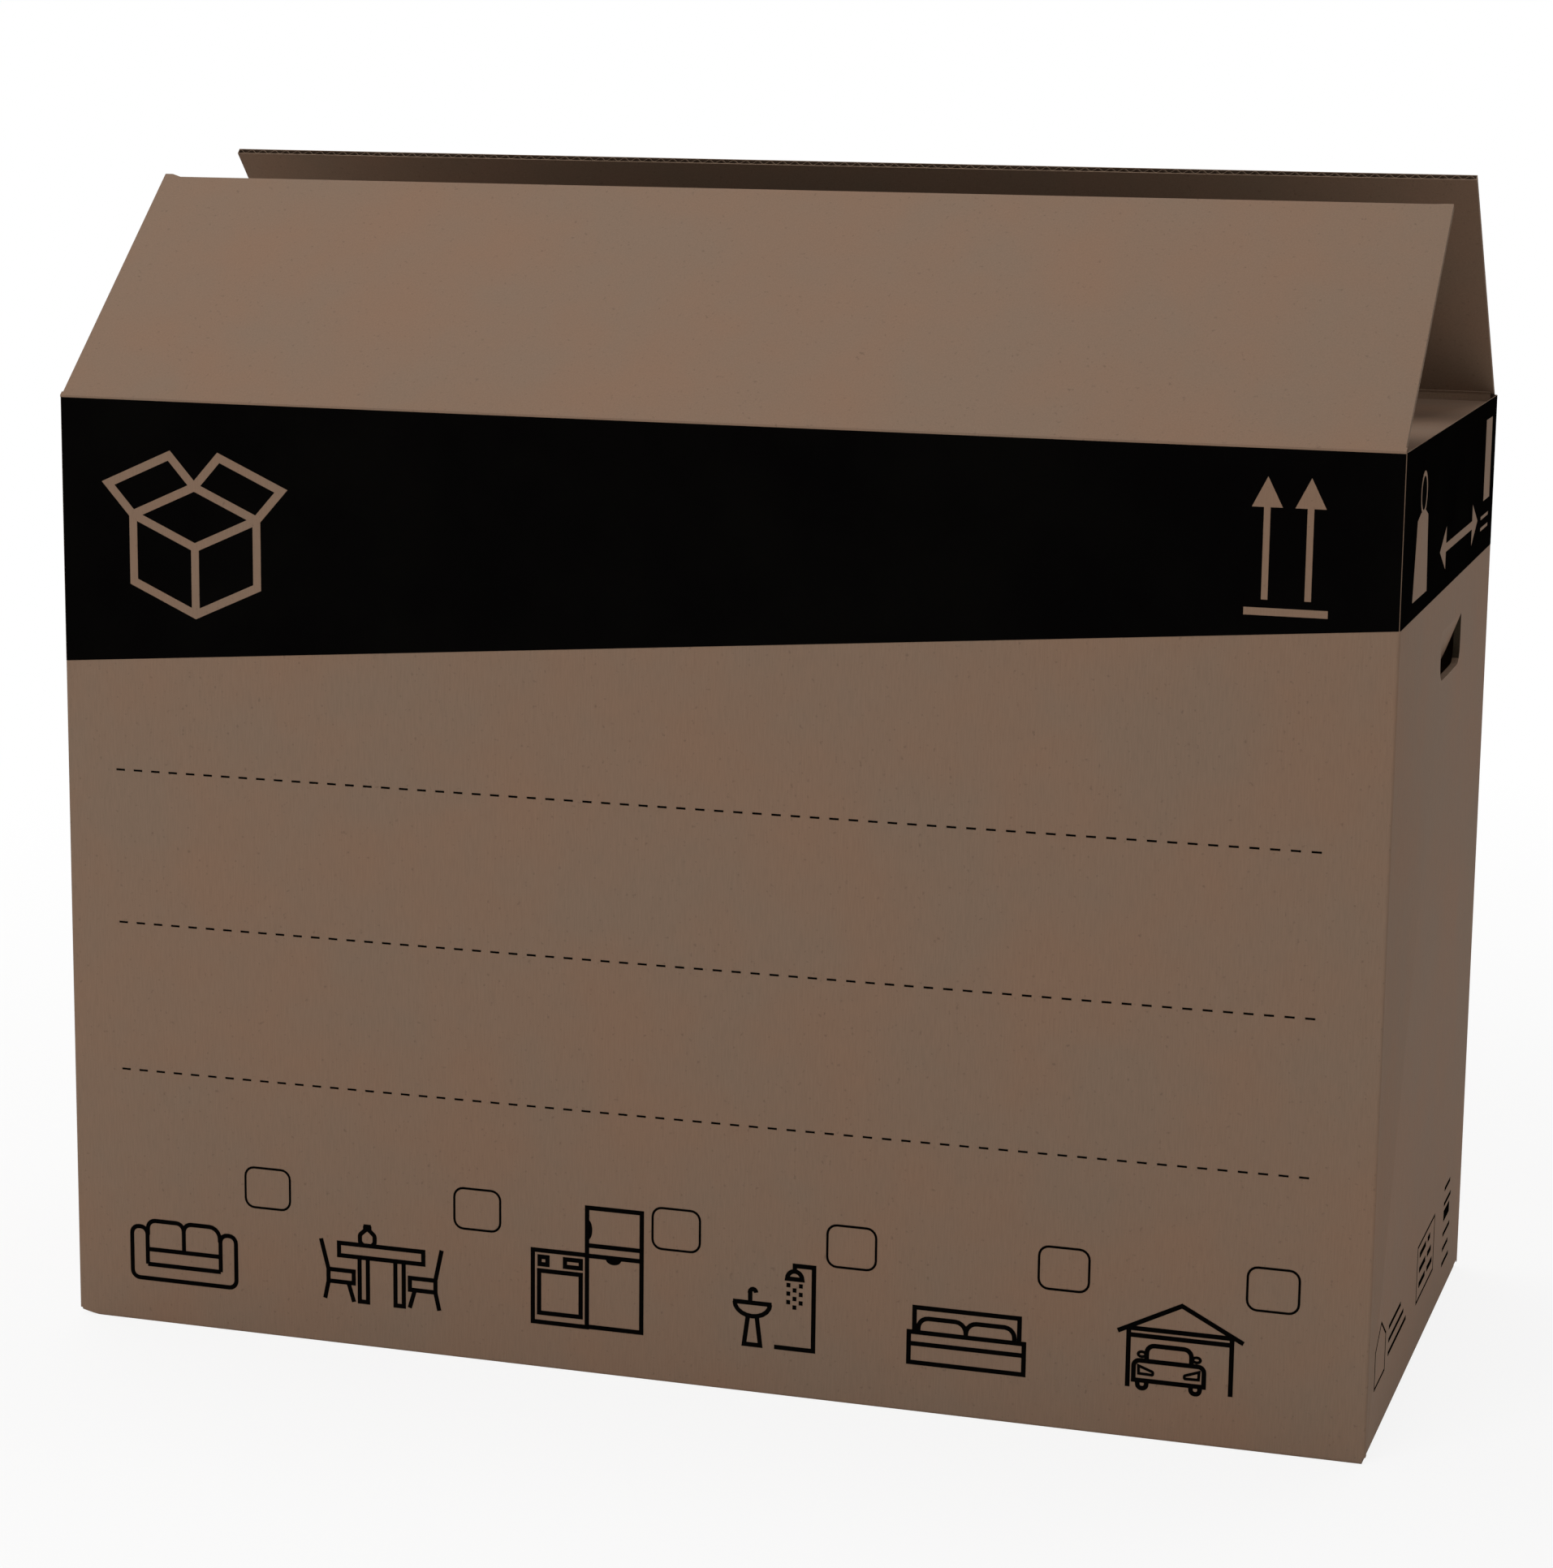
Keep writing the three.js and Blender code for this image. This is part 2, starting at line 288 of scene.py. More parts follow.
FOLD_RADIUS = 2 * MM
FOLD_STEPS = 6
FOLD_PROUD = 0.02 * MM
FOLD_PAPER = 0.3 * MM
RIDGE_TOP = HEIGHT - 0.35 * MM
FOLD_X = HALF_LENGTH - FOLD_RADIUS
FOLD_Y = HALF_DEPTH - FOLD_RADIUS
FOLDS = ((-FOLD_X, -FOLD_Y), (FOLD_X, -FOLD_Y), (FOLD_X, FOLD_Y), (-FOLD_X, FOLD_Y))


def round_fold(number, first, last, proud):
    """Points round fold number (0 front left, 1 front right, 2 back right, 3 back left)."""
    centre = FOLDS[number % 4]
    radius = FOLD_RADIUS - INK_ROOM + proud
    turns = [math.radians(first + (last - first) * step / FOLD_STEPS) for step in range(FOLD_STEPS + 1)]
    return [(centre[0] + radius * math.cos(turn), centre[1] + radius * math.sin(turn)) for turn in turns]


for number, name in enumerate(("front_left", "front_right", "back_right", "back_left")):
    way = round_fold(number, 180 + 90 * number, 270 + 90 * number, FOLD_PROUD)
    for here, beyond, place in ((way[0], way[1], 0), (way[-1], way[-2], len(way) + 1)):
        flat_in_x = abs(here[0] - beyond[0]) > abs(here[1] - beyond[1])
        inwards = -math.copysign(0.4 * MM, here[0]), -math.copysign(2.6 * MM, here[1])
        way.insert(place, (here[0] + inwards[0], here[1]) if flat_in_x else (here[0], here[1] + inwards[1]))
    rows = [[(x, y, z) for x, y in way] for z in (BOARD, HEIGHT / 2, RIDGE_TOP)]
    fold = laid_sheet(rows, FOLD_PAPER, -1)
    fold.data.materials.append(liner_along_x)
    finish_piece(fold, name + "_fold", "carton")

for side, name in ((1, "right"), (-1, "left")):
    proud_x = side * (HALF_LENGTH - INK_ROOM + FOLD_PROUD)
    way = [(proud_x, side * y) for y in (-FOLD_Y + 2 * MM, FOLD_Y - 2 * MM)]
    rows = [[(x, y, z) for x, y in way] for z in (HEIGHT - 8 * MM, RIDGE_TOP)]
    ridge = laid_sheet(rows, FOLD_PAPER, -1)
    ridge.data.materials.append(liner_along_y)
    finish_piece(ridge, name + "_crease_ridge", "carton")


# Long flaps
# Each long flap is a panel of the same board on its crease. Its free edge was cut across the
# flutes, so the fluted medium shows between the two liners as a row of waves.

LINER = 0.45 * MM
MEDIUM = 0.35 * MM
MOUTH_DEPTH = 3.5 * MM
STEPS_PER_FLUTE = 8
ROOT_END = 398.5 * MM
# The free edge is full length up to 5 mm from its ends, and cut short from 11 mm on
CUT_FROM = 5 * MM
CUT_FULL = 11 * MM


def select_faces(thing, wanted):
    """In edit mode, selects the faces for which wanted(face) is true, and nothing else."""
    mesh = bmesh.from_edit_mesh(thing.data)
    for face in mesh.faces:
        face.select_set(wanted(face))
    mesh.select_flush_mode()
    bmesh.update_edit_mesh(thing.data)


def fluted_ribbon(left, right, low, high, middle):
    """Upright wavy strip of fluting medium, from low to high, centred on y = middle."""
    flutes = int((right - left) / FLUTE_PITCH)
    bpy.ops.mesh.primitive_grid_add(
        x_subdivisions=flutes * STEPS_PER_FLUTE, y_subdivisions=1, size=1,
        location=((left + right) / 2, middle, (low + high) / 2), rotation=(math.pi / 2, 0, 0))
    ribbon = bpy.context.object
    ribbon.scale = (right - left, high - low, 1)
    bpy.ops.object.transform_apply(location=True, rotation=True, scale=True)
    swing = (BOARD - 2 * LINER - MEDIUM) / 2
    for vertex in ribbon.data.vertices:
        vertex.co.y += swing * math.sin(2 * math.pi * vertex.co.x / FLUTE_PITCH)
    thick = ribbon.modifiers.new("medium", "SOLIDIFY")
    thick.thickness = MEDIUM
    thick.offset = 0
    bpy.ops.object.modifier_apply(modifier=thick.name)
    ribbon.data.materials.append(fluting)
    return ribbon


def flap_panel(left, right, reach, root, mitre, drop_left, drop_right):
    """Upright panel, outer face at y = CREASE_GAP, fluted free edge on top, cut a little short."""
    outer = CREASE_GAP
    bpy.ops.object.select_all(action="DESELECT")
    bpy.ops.mesh.primitive_cube_add(
        size=1, location=((left + right) / 2, outer + BOARD / 2, (root + reach) / 2))
    panel = bpy.context.object
    panel.scale = (right - left, BOARD, reach - root)
    bpy.ops.object.transform_apply(location=True, rotation=True, scale=True)
    for material in (liner_along_x, raw_edge, fluting, inside_painted_shade_along_x):
        panel.data.materials.append(material)
    bpy.ops.object.mode_set(mode="EDIT")
    select_faces(panel, lambda face: face.normal.z > 0.9)
    bpy.ops.mesh.inset(thickness=LINER)
    bpy.ops.mesh.extrude_region_move(TRANSFORM_OT_translate={"value": (0, 0, -MOUTH_DEPTH)})
    for cut in (left + CUT_FROM, left + CUT_FULL, right - CUT_FULL, right - CUT_FROM):
        bpy.ops.mesh.select_all(action="SELECT")
        bpy.ops.mesh.bisect(plane_co=(cut, 0, 0), plane_no=(1, 0, 0))
    bpy.ops.object.mode_set(mode="OBJECT")
    for vertex in panel.data.vertices:
        if vertex.co.z < root + BOARD / 2:
            # Slotted a little narrower at the crease, so that it shuts between the end walls
            vertex.co.x = min(max(vertex.co.x, -ROOT_END), ROOT_END)
            if vertex.co.y > outer + BOARD / 2:
                vertex.co.z += mitre
    for face in panel.data.polygons:
        in_mouth = face.center.z > reach - MOUTH_DEPTH - MM and abs(face.normal.z) < 0.5
        in_mouth = in_mouth and abs(face.center.y - outer - BOARD / 2) < BOARD / 2 - LINER / 2
        in_mouth = in_mouth and left + LINER / 2 < face.center.x < right - LINER / 2
        if in_mouth or (face.normal.z > 0.9 and face.center.z < reach - MM):
            face.material_index = 2
        elif abs(face.normal.x) > 0.9 or face.normal.z > 0.9 or face.normal.z < -0.5:
            face.material_index = 1
        elif face.normal.y > 0.9:
            face.material_index = 3
    ribbon = fluted_ribbon(left + LINER, right - LINER, reach - MOUTH_DEPTH, reach - 0.1 * MM,
                           outer + BOARD / 2)
    only(panel)
    ribbon.select_set(True)
    bpy.ops.object.join()
    for vertex in panel.data.vertices:
        if vertex.co.z > reach - MOUTH_DEPTH / 2:
            from_end = min(vertex.co.x - left, right - vertex.co.x)
            drop = drop_left + (drop_right - drop_left) * (vertex.co.x - left) / (right - left)
            vertex.co.z -= drop * min(max((from_end - CUT_FROM) / (CUT_FULL - CUT_FROM), 0), 1)
    bpy.ops.object.shade_smooth_by_angle(angle=math.radians(30))
    return panel


FLAP_REACH = HALF_DEPTH - 0.5 * MM + CREASE_GAP
FRONT_LEAN = math.radians(49)
BACK_LEAN = math.radians(43.6)
CREASE_HEIGHT = HEIGHT + CREASE_GAP

# Name, lean, turn about Z, ends in the flap's own x, and how short the free edge is cut there
FLAPS = (
    ("front_flap", FRONT_LEAN, 0, -399.4 * MM, 399.2 * MM, 2.4 * MM, 0.4 * MM),
    ("back_flap", BACK_LEAN, math.pi, -398 * MM, 399.3 * MM, 0, 0),
)

for name, lean, turn, left, right, drop_left, drop_right in FLAPS:
    flap = flap_panel(left, right, FLAP_REACH, 2 * CREASE_GAP, BOARD, drop_left, drop_right)
    flap.matrix_world = (
        Matrix.Rotation(turn, 4, "Z")
        @ Matrix.Translation((0, -HALF_DEPTH - CREASE_GAP, CREASE_HEIGHT))
        @ Matrix.Rotation(-lean, 4, "X")
    )
    finish_piece(flap, name + "_board", name)
    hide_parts(name)


# Creases of the long flaps
# At a crease the board is crushed to a line and only its paper bends. One strip of liner goes
# round the outside of each crease and one round the inside, held by the wall and by the flap.

CREASE_AWAY = 1.0 * MM


def liner_strip(name, left, right, turn, way, paper):
    """Strip of liner along x through way, points (y, z)."""
    spin = Matrix.Rotation(turn, 4, "Z")
    rows = [[spin @ Vector((x, y, z)) for x in (left, right)] for y, z in way]
    strip = laid_sheet(rows, LINER, -1)
    strip.data.materials.append(paper)
    strip.name = name
    strip.data.name = name
    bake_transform(strip)


for name, lean, turn, left, right, drop_left, drop_right in FLAPS:
    axis = Vector((-HALF_DEPTH - CREASE_GAP, CREASE_HEIGHT))
    along_flap = Vector((math.sin(lean), math.cos(lean)))
    into_flap = Vector((math.cos(lean), -math.sin(lean)))
    at_wall = CREASE_GAP + 0.02 * MM
    at_flap = CREASE_GAP - 0.05 * MM
    corner = axis + (into_flap + Vector((1, 0))).normalized() * at_wall / math.cos(lean / 2)
    outside = [axis + Vector((at_wall, -away)) for away in (1.3 * MM, CREASE_AWAY, CREASE_AWAY / 2)]
    outside.append(corner)
    for away in (CREASE_AWAY / 2, CREASE_AWAY, 3 * MM):
        outside.append(axis + into_flap * at_flap + along_flap * away)
    liner_strip(name + "_outer_crease", left, right, turn, outside,
                liner_along_x)

    wall_edge = axis + Vector((CREASE_GAP + BOARD, -2 * CREASE_GAP - BOARD))
    flap_edge = axis + into_flap * (CREASE_GAP + BOARD) + along_flap * (2 * CREASE_GAP + BOARD)
    inside = [wall_edge + Vector((0.1 * MM, -2 * MM))]
    inside += [wall_edge.lerp(flap_edge, step / 6) + Vector((0.1 * MM, 0)) for step in range(7)]
    inside.append(flap_edge + into_flap * 0.1 * MM + along_flap * 2 * MM)
    liner_strip(name + "_inner_crease", left + 2 * MM, right - 2 * MM, turn, inside,
                inside_painted_shade_along_x)


# Printed band
# Flexographic ink in black, printed flat on the outer liner before the sheet was folded. It
# fills the top of the walls. On the front its lower edge climbs from left to right.

INK = 0.1 * MM
INK_BLACK = "070606"
BAND_LEFT = 0.4105
BAND_RIGHT = 0.473
BAND_BACK = 0.4757
BAND_TOP = HEIGHT - 1.1 * MM
CORNER_LINE = 0.6 * MM
HOLE_LEFT = -62.5 * MM
HOLE_RIGHT = 22.5 * MM
HOLE_RADIUS = 10 * MM

# Water-based flexo ink soaked into the liner: matt, nearly without shine, the ribs showing in it
ink_tones = (INK_BLACK, "0A0908", "050505")
ink_along_x = board_material("flexo_ink_flutes_in_x", "X", ink_tones, roughness=0.9)
ink_along_y = board_material("flexo_ink_flutes_in_y", "Y", ink_tones, roughness=0.9)
for ink in (ink_along_x, ink_along_y):
    ink.node_tree.nodes["Principled BSDF"].inputs["Specular IOR Level"].default_value = 0.0

# The ink stops at a thin bare line on each upright corner
REACH = 45 - math.degrees(CORNER_LINE / 2 / FOLD_RADIUS)
BANDS = (
    (0, "front_band", BAND_LEFT, BAND_RIGHT, BAND_TOP, ink_along_x),
    (1, "right_band", BAND_RIGHT, BAND_BACK, RIDGE_TOP - 0.2 * MM, ink_along_y),
    (2, "back_band", BAND_BACK, BAND_LEFT, BAND_TOP, ink_along_x),
    (3, "left_band", BAND_LEFT, BAND_LEFT, RIDGE_TOP - 0.2 * MM, ink_along_y),
)
for place, name, low_left, low_right, top, ink in BANDS:
    middle = 270 + 90 * place
    way = round_fold(place, middle - REACH, middle, 0) + round_fold(place + 1, middle, middle + REACH, 0)
    run = [0.0]
    for one, two in zip(way, way[1:]):
        run.append(run[-1] + math.dist(one, two))
    lower = [(x, y, low_left + (low_right - low_left) * r / run[-1]) for (x, y), r in zip(way, run)]
    band = laid_sheet([lower, [(x, y, top) for x, y in way]], INK, 1)
    band.data.materials.append(ink)
    if name == "left_band":
        # The hand hole was cut through the print, with round lower corners
        outline = [(HOLE_LEFT, HOLE_TOP), (HOLE_RIGHT, HOLE_TOP)]
        for centre, first in ((HOLE_RIGHT - HOLE_RADIUS, 0), (HOLE_LEFT + HOLE_RADIUS, -90)):
            for turn in range(first, first - 91, -15):
                outline.append((centre + HOLE_RADIUS * math.cos(math.radians(turn)),
                                HOLE_BOTTOM + HOLE_RADIUS * (1 + math.sin(math.radians(turn)))))
        verts = [(x, y, z) for x in (-HALF_LENGTH - 5 * MM, -HALF_LENGTH + 5 * MM) for y, z in outline]
        count = len(outline)
        faces = [tuple(range(count)), tuple(range(2 * count - 1, count - 1, -1))]
        faces += [((k + 1) % count, k, k + count, (k + 1) % count + count) for k in range(count)]
        data = bpy.data.meshes.new("hole_cutter")
        data.from_pydata(verts, [], faces)
        cutter = bpy.data.objects.new("hole_cutter", data)
        bpy.context.collection.objects.link(cutter)
        only(cutter)
        bpy.ops.object.mode_set(mode="EDIT")
        bpy.ops.mesh.select_all(action="SELECT")
        bpy.ops.mesh.normals_make_consistent(inside=False)
        bpy.ops.object.mode_set(mode="OBJECT")
        only(band)
        cut = band.modifiers.new("hand hole", "BOOLEAN")
        cut.operation = "DIFFERENCE"
        cut.solver = "EXACT"
        cut.object = cutter
        bpy.ops.object.modifier_apply(modifier=cut.name)
        bpy.data.objects.remove(cutter)
        bpy.data.meshes.remove(data)
    finish_piece(band, name, "carton")

# Each wall's outer face as origin, way to the right, way up and way out
FACE_X = HALF_LENGTH - INK_ROOM
FACE_Y = HALF_DEPTH - INK_ROOM
FRONT = (Vector((0, -FACE_Y, 0)), Vector((1, 0, 0)), Vector((0, 0, 1)), Vector((0, -1, 0)))
RIGHT = (Vector((FACE_X, 0, 0)), Vector((0, 1, 0)), Vector((0, 0, 1)), Vector((1, 0, 0)))


def printed(shapes, wall, lift=0.0, thickness=INK):
    """One mesh of flat shapes on a wall. A shape is a loop of points, or a ribbon of two edges."""
    origin, right, up, out = wall
    mesh = bmesh.new()

    def put(u, v, height):
        return mesh.verts.new(origin + right * u + up * v + out * (lift + height))

    for number, shape in enumerate(shapes):
        # Shapes that cross in one print differ by 2 microns, so that no two faces coincide
        top = thickness + (number % 8) * 0.002 * MM
        if isinstance(shape, tuple):
            left_side, right_side, closed = shape
            rows = [[put(*a, 0), put(*b, 0), put(*b, top), put(*a, top)]
                    for a, b in zip(left_side, right_side)]
            pairs = list(zip(rows, rows[1:]))
            if closed:
                pairs.append((rows[-1], rows[0]))
            else:
                mesh.faces.new(rows[0][::-1])
                mesh.faces.new(rows[-1])
            for one, two in pairs:
                for k in range(4):
                    mesh.faces.new((one[k], one[(k + 1) % 4], two[(k + 1) % 4], two[k]))
        else:
            under = [put(u, v, 0) for u, v in shape]
            over = [put(u, v, top) for u, v in shape]
            mesh.faces.new(under[::-1])
            mesh.faces.new(over)
            for k in range(len(shape)):
                n = (k + 1) % len(shape)
                mesh.faces.new((under[k], under[n], over[n], over[k]))
    bmesh.ops.recalc_face_normals(mesh, faces=mesh.faces)
    data = bpy.data.meshes.new("print")
    mesh.to_mesh(data)
    mesh.free()
    thing = bpy.data.objects.new("print", data)
    bpy.context.collection.objects.link(thing)
    return thing


# Writing lines
# Three dashed lines across the front for the user to write on, printed with the same ink.

LINE_LEFT = -367.3 * MM
LINE_RIGHT = 362.3 * MM
LINE_ENDS = ((346, 348.6), (251.9, 254.7), (159.9, 163.6))
DASHES = 64
DASH_SHARE = 0.49
DASH_THICKNESS = 1.15 * MM


def bar(u0, u1, v0, v1):
    return [(u0, v0), (u1, v0), (u1, v1), (u0, v1)]


dashes = []
pitch = (LINE_RIGHT - LINE_LEFT) / (DASHES - 1 + DASH_SHARE)
for left_height, right_height in LINE_ENDS:
    for place in range(DASHES):
        start = LINE_LEFT + place * pitch
        height = (left_height + (right_height - left_height) * place / (DASHES - 1)) * MM
        dashes.append(bar(start, start + DASH_SHARE * pitch, height - DASH_THICKNESS / 2,
                          height + DASH_THICKNESS / 2))
writing_lines = printed(dashes, FRONT)
writing_lines.data.materials.append(ink_along_x)
finish_piece(writing_lines, "writing_lines", "carton")


# Room pictograms and tick boxes
# A row of plain line drawings of household rooms along the foot of the front, each with a
# tick box with round corners, in the same ink.

ROUND_STEPS = 5
TICK_WIDTH = 29.4
TICK_HEIGHT = 25.1
TICK_LINE = 1.4
ICON_LINE = 2.75
FINE_LINE = 1.7


def rounded(points, closed):
    """Path through points (u, v) or (u, v, radius), with arcs at the rounded ones."""
    path = []
    for place, point in enumerate(points):
        radius = point[2] if len(point) > 2 else 0
        here = Vector(point[:2])
        at_end = not closed and place in (0, len(points) - 1)
        if not radius or at_end:
            path.append(here)
            continue
        before = (Vector(points[place - 1][:2]) - here).normalized()
        after = (Vector(points[(place + 1) % len(points)][:2]) - here).normalized()
        half = before.angle(after) / 2
        centre = here + (before + after).normalized() * (radius / math.sin(half))
        start = here + before * (radius / math.tan(half)) - centre
        end = here + after * (radius / math.tan(half)) - centre
        turn = start.angle_signed(end)
        for step in range(ROUND_STEPS + 1):
            path.append(centre + Matrix.Rotation(-turn * step / ROUND_STEPS, 2) @ start)
    return path


def stroke(points, width, closed=False, at=(0, 0)):
    """Line of even width along a path in millimetres, as the two edges of a ribbon."""
    path = rounded(points, closed)
    one, two = [], []
    for place, here in enumerate(path):
        before = path[place - 1] if place or closed else None
        after = path[(place + 1) % len(path)] if place < len(path) - 1 or closed else None
        ways = [(here - before).normalized()] if before else []
        ways += [(after - here).normalized()] if after else []
        way = sum(ways, Vector((0, 0))).normalized()
        across = Vector((-way.y, way.x))
        stretch = min(1 / max(ways[0].dot(way), 0.3), 2.0)
        for side, sign in ((one, 1), (two, -1)):
            spot = here + across * sign * stretch * width / 2 + Vector(at)
            side.append((spot.x * MM, spot.y * MM))
    return one, two, closed


def box_points(u0, u1, v0, v1, radius=0):
    return [(u0, v0, radius), (u1, v0, radius), (u1, v1, radius), (u0, v1, radius)]


def disc(u, v, radius_u, radius_v, start=0, end=360, steps=14):
    """Filled part of an ellipse, as a loop of points in metres."""
    turns = [math.radians(start + (end - start) * k / steps) for k in range(steps + (end - start < 360))]
    return [((u + radius_u * math.cos(t)) * MM, (v + radius_v * math.sin(t)) * MM) for t in turns]


def arc_points(u, v, radius_u, radius_v, start, end, steps=10):
    turns = [math.radians(start + (end - start) * k / steps) for k in range(steps + 1)]
    return [(u + radius_u * math.cos(t), v + radius_v * math.sin(t)) for t in turns]


def sofa():
    lines = [
        ([(10.4, 9.2), (10.4, 32.8, 4.6), (0, 32.8, 4.6), (0, 0, 4.8), (70, 0, 4.8), (70, 32.8, 4.6),
          (59.6, 32.8, 4.6), (59.6, 9.2)], False),
        ([(10.4, 9.2), (59.6, 9.2)], False),
        ([(10.4, 18.8), (59.6, 18.8)], False),
        ([(10.8, 28), (10.8, 37.2, 5), (35, 37.2, 5), (35, 18.8)], False),
        ([(35, 28), (35, 37.2, 5), (59.2, 37.2, 7), (59.2, 28)], False),
    ]
    return lines, []


def dining_table():
    lines = [
        ([(0, 38), (4.7, 19.5), (4.7, 11.5), (2.4, 0.6)], False),
        (box_points(4.7, 21.3, 11.8, 19.2), True),
        ([(17.8, 11.8), (21.4, 0)], False),
        (box_points(11.8, 66.8, 28.6, 36.4), True),
        (box_points(25.2, 30.6, 0.8, 28.6), True),
        (box_points(48.6, 54, 0.8, 28.6), True),
        ([(27.6, 36.4), (25.6, 38.5, 1), (25.6, 43, 2.5), (29, 46), (29, 48.8)], False),
        ([(33.2, 36.4), (35.2, 38.5, 1), (35.2, 43, 2.5), (31.8, 46), (31.8, 48.8)], False),
        ([(28, 48.4), (32.8, 48.4)], False),
        ([(78.7, 38.6), (74.6, 19.5), (74.6, 11.5), (77, 0.6)], False),
        (box_points(58, 74.6, 11.8, 19.2), True),
        ([(61.2, 11.8), (57.8, 0.4)], False),
    ]
    return lines, []


def kitchen():
    lines = [
        (box_points(0, 34.3, 0.6, 45.2), True),
        (box_points(4.3, 9.3, 36.6, 41.2), True),
        (box_points(20.4, 30.4, 36.6, 41.2), True),
        (box_points(4.0, 30.4, 6.4, 32.6), True),
        (box_points(34.3, 68.6, 1, 74.6), True),
        ([(34.3, 51.4), (68.6, 51.4)], False),
        ([(34.3, 45), (68.6, 45)], False),
    ]
    return lines, [disc(34.8, 61, 2.8, 6.2, -90, 90), disc(51, 44, 4.8, 3.2, 180, 360)]


def bathroom():
    lines = [
        ([(-0.4, 26.4), (23.4, 26.4)], False),
        (arc_points(11.5, 26.4, 10.9, 8.2, 180, 360), False),
        ([(8.8, 17.6), (6.6, 0.8), (16.6, 0.8), (14.4, 17.6)], False),
        ([(10.2, 26.4), (10.2, 32.4)] + arc_points(11.9, 32.8, 1.9, 2.1, 180, 0, 6), False),
        ([(25.2, 1), (49, 1), (49, 51.8), (37.3, 51.8), (37.3, 48)], False),
        (arc_points(37.3, 43.6, 4.6, 4.8, 0, 180), True),
    ]
    drops = []
    for column, top in ((33.5, 41), (37.3, 38.1), (41.1, 41)):
        for row in range(3):
            low = (top - row * 5.2 - 2.6) * MM
            drops.append(bar((column - 1.2) * MM, (column + 1.2) * MM, low, low + 2.6 * MM))
    return lines, drops


def bedroom():
    lines = [
        (box_points(0, 68.5, 0, 18.4), True),
        ([(0, 11.4), (68.5, 11.4)], False),
        ([(3.2, 18.4), (3.2, 33.4), (65.6, 33.4), (65.6, 18.4)], False),
        ([(5.6, 18.8), (5.6, 27.2, 6), (34, 27.2, 6.5), (34, 17.6)], False),
        ([(34, 17.6), (34, 27.2, 6.5), (62.8, 27.2, 6), (62.8, 18.8)], False),
    ]
    return lines, []


def garage():
    lines = [
        ([(-0.4, 30), (36.3, 48.4), (72, 30)], False),
        ([(6, -2.6), (6, 32.2)], False),
        ([(65.4, -2), (65.4, 32.2)], False),
        ([(6, 32.4), (65.4, 32.4)], False),
        ([(6, 28.4), (65.4, 28.4)], False),
        ([(9.4, 1.8), (9.4, 13.6, 3.4), (50, 13.6, 3.4), (50, 1.8)], True),
        ([(16.8, 13.6), (16.8, 23, 4.4), (42.6, 23, 4.4), (42.6, 13.6)], False),
        ([(12.2, 10.4), (20.6, 7.4, 0.8), (20.6, 5.6, 0.6), (12.4, 5.8)], True, FINE_LINE),
        ([(47.2, 10.4), (38.8, 7.4, 0.8), (38.8, 5.6, 0.6), (47, 5.8)], True, FINE_LINE),
        ([(11.8, 1.8), (11.8, -2.8, 2.4), (17, -2.8, 2.4), (17, 1.8)], False),
        ([(42.6, 1.8), (42.6, -2.8, 2.4), (47.8, -2.8, 2.4), (47.8, 1.8)], False),
        (arc_points(14, 17.4, 2.2, 1.5, 0, 330, 11), True, FINE_LINE),
        (arc_points(45.6, 17.4, 2.2, 1.5, 0, 330, 11), True, FINE_LINE),
    ]
    return lines, []


ICONS = (
    ("sofa", sofa, -362.9, 27.7, -271.2, 93.2),
    ("dining_table", dining_table, -236.3, 27.6, -134.6, 94.0),
    ("kitchen", kitchen, -99.1, 28.0, -9.1, 94.6),
    ("bathroom", bathroom, 26.8, 28.8, 98.3, 95.2),
    ("bedroom", bedroom, 133.6, 30.2, 224.4, 95.9),
    ("garage", garage, 257.0, 33.2, 344.7, 96.4),
)

for name, draw, icon_u, icon_v, tick_u, tick_v in ICONS:
    lines, fills = draw()
    shapes = []
    for points, closed, *fine in lines:
        shapes.append(stroke(points, fine[0] if fine else ICON_LINE, closed, (icon_u, icon_v)))
    for fill in fills:
        shapes.append([(u + icon_u * MM, v + icon_v * MM) for u, v in fill])
    tick = box_points(-TICK_WIDTH / 2, TICK_WIDTH / 2, -TICK_HEIGHT / 2, TICK_HEIGHT / 2, 5.8)
    shapes.append(stroke(tick, TICK_LINE, True, (tick_u, tick_v)))
    piece = printed(shapes, FRONT)
    piece.data.materials.append(ink_along_x)
    finish_piece(piece, name + "_mark", "carton")


# Marks left open in the band
# The bare liner shows where the band was not printed: two upright arrows over a bar and an open
# carton on the front, and a weight, a dimension mark and a blank panel on the end wall.

OPEN_LIFT = INK
OPEN_FILM = 0.05 * MM


def upright_arrow(u):
    head = [((u - 8.5) * MM, 537 * MM), ((u + 8.5) * MM, 537 * MM), (u * MM, 553.7 * MM)]
    shaft = bar((u - 1.8) * MM, (u + 1.8) * MM, 486.5 * MM, 537.5 * MM)
    return [head, shaft]


arrow_shapes = upright_arrow(325.4) + upright_arrow(349.2)
arrow_shapes.append(bar(314.2 * MM, 360.4 * MM, 477.8 * MM, 482 * MM))
arrows = printed(arrow_shapes, FRONT, OPEN_LIFT, OPEN_FILM)
arrows.data.materials.append(liner_along_x)
finish_piece(arrows, "upright_arrows", "carton")


def on_wall(points):
    return [(u * MM, v * MM) for u, v in points]


weight_shapes = [
    stroke(arc_points(-121.5, 540.7, 10.9, 11, 0, 345, 23), 2.8, True),
    on_wall([(-152, 483), (-97, 483), (-103, 527), (-113, 530.5), (-131, 530.5), (-143, 527)]),
]
